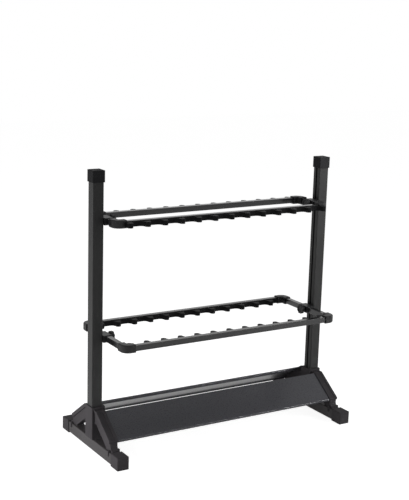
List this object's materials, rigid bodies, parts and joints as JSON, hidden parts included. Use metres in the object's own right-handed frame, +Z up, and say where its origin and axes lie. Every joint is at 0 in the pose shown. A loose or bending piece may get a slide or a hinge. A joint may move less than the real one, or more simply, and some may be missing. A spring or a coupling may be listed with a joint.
{
  "type": "fishing rod rack",
  "caption": "Free-standing two-sided rack: slotted posts on braced feet carry two clamped tiers of notched rails over sloping base plates, holding rods upright.",
  "frame": {"origin": "on the floor, midway between the feet and midway between the posts", "axes": "+X along the rack to the right seen from the front, -Y to the front, +Z up the posts"},
  "size_m": [0.6, 0.2728, 0.6043],
  "materials": {
    "post_metal": "black satin anodised",
    "foot_metal": "dark grey satin anodised",
    "rail_metal": "black satin anodised",
    "painted_sheet": "fine matt powder coat",
    "moulded_plastic": "fine spark grain",
    "strip_plastic": "smooth satin",
    "knob_plastic": "satin",
    "fastener_steel": "zinc plated"
  },
  "bodies": {
    "base": {"post_left": "post_metal", "post_right": "post_metal", "post_cap_left": "moulded_plastic", "post_cap_right": "moulded_plastic", "foot_tube_left": "foot_metal", "foot_tube_right": "foot_metal", "foot_cap_front_left": "moulded_plastic", "foot_cap_front_right": "moulded_plastic", "foot_cap_rear_left": "moulded_plastic", "foot_cap_rear_right": "moulded_plastic", "base_bracket_left": "moulded_plastic", "base_bracket_right": "moulded_plastic", "front_plate": "painted_sheet", "rear_plate": "painted_sheet", "foot_bolts": "fastener_steel", "toe_screws": "fastener_steel"},
    "lower_tier": {"lower_front_rail": "rail_metal", "lower_rear_rail": "rail_metal", "lower_front_strip": "strip_plastic", "lower_rear_strip": "strip_plastic", "lower_end_bar_left": "rail_metal", "lower_end_bar_right": "rail_metal", "lower_elbow_front_left": "moulded_plastic", "lower_elbow_front_right": "moulded_plastic", "lower_elbow_rear_left": "moulded_plastic", "lower_elbow_rear_right": "moulded_plastic", "lower_connector_left": "moulded_plastic", "lower_connector_right": "moulded_plastic", "lower_slot_nut_left": "fastener_steel", "lower_slot_nut_right": "fastener_steel"},
    "upper_tier": {"upper_front_rail": "rail_metal", "upper_rear_rail": "rail_metal", "upper_front_strip": "strip_plastic", "upper_rear_strip": "strip_plastic", "upper_end_bar_left": "rail_metal", "upper_end_bar_right": "rail_metal", "upper_elbow_front_left": "moulded_plastic", "upper_elbow_front_right": "moulded_plastic", "upper_elbow_rear_left": "moulded_plastic", "upper_elbow_rear_right": "moulded_plastic", "upper_connector_left": "moulded_plastic", "upper_connector_right": "moulded_plastic", "upper_slot_nut_left": "fastener_steel", "upper_slot_nut_right": "fastener_steel"},
    "lower_left_knob": {"lower_knob_left": "knob_plastic", "lower_stud_left": "fastener_steel"},
    "lower_right_knob": {"lower_knob_right": "knob_plastic", "lower_stud_right": "fastener_steel"},
    "upper_left_knob": {"upper_knob_left": "knob_plastic", "upper_stud_left": "fastener_steel"},
    "upper_right_knob": {"upper_knob_right": "knob_plastic", "upper_stud_right": "fastener_steel"}
  },
  "joints": [
    {"name": "lower_tier_slide", "type": "slide", "parent": "base", "child": "lower_tier", "axis": [0, 0, 1], "range_m": [-0.13, 0.11]},
    {"name": "upper_tier_slide", "type": "slide", "parent": "base", "child": "upper_tier", "axis": [0, 0, 1], "range_m": [-0.11, 0.065]},
    {"name": "lower_left_knob_turn", "type": "hinge", "parent": "lower_tier", "child": "lower_left_knob", "pos_m": [-0.253, 0, 0.2462], "axis": [1, 0, 0], "range_deg": [0, 360]},
    {"name": "lower_right_knob_turn", "type": "hinge", "parent": "lower_tier", "child": "lower_right_knob", "pos_m": [0.253, 0, 0.2462], "axis": [-1, 0, 0], "range_deg": [0, 360]},
    {"name": "upper_left_knob_turn", "type": "hinge", "parent": "upper_tier", "child": "upper_left_knob", "pos_m": [-0.253, 0, 0.4978], "axis": [1, 0, 0], "range_deg": [0, 360]},
    {"name": "upper_right_knob_turn", "type": "hinge", "parent": "upper_tier", "child": "upper_right_knob", "pos_m": [0.253, 0, 0.4978], "axis": [-1, 0, 0], "range_deg": [0, 360]}
  ]
}
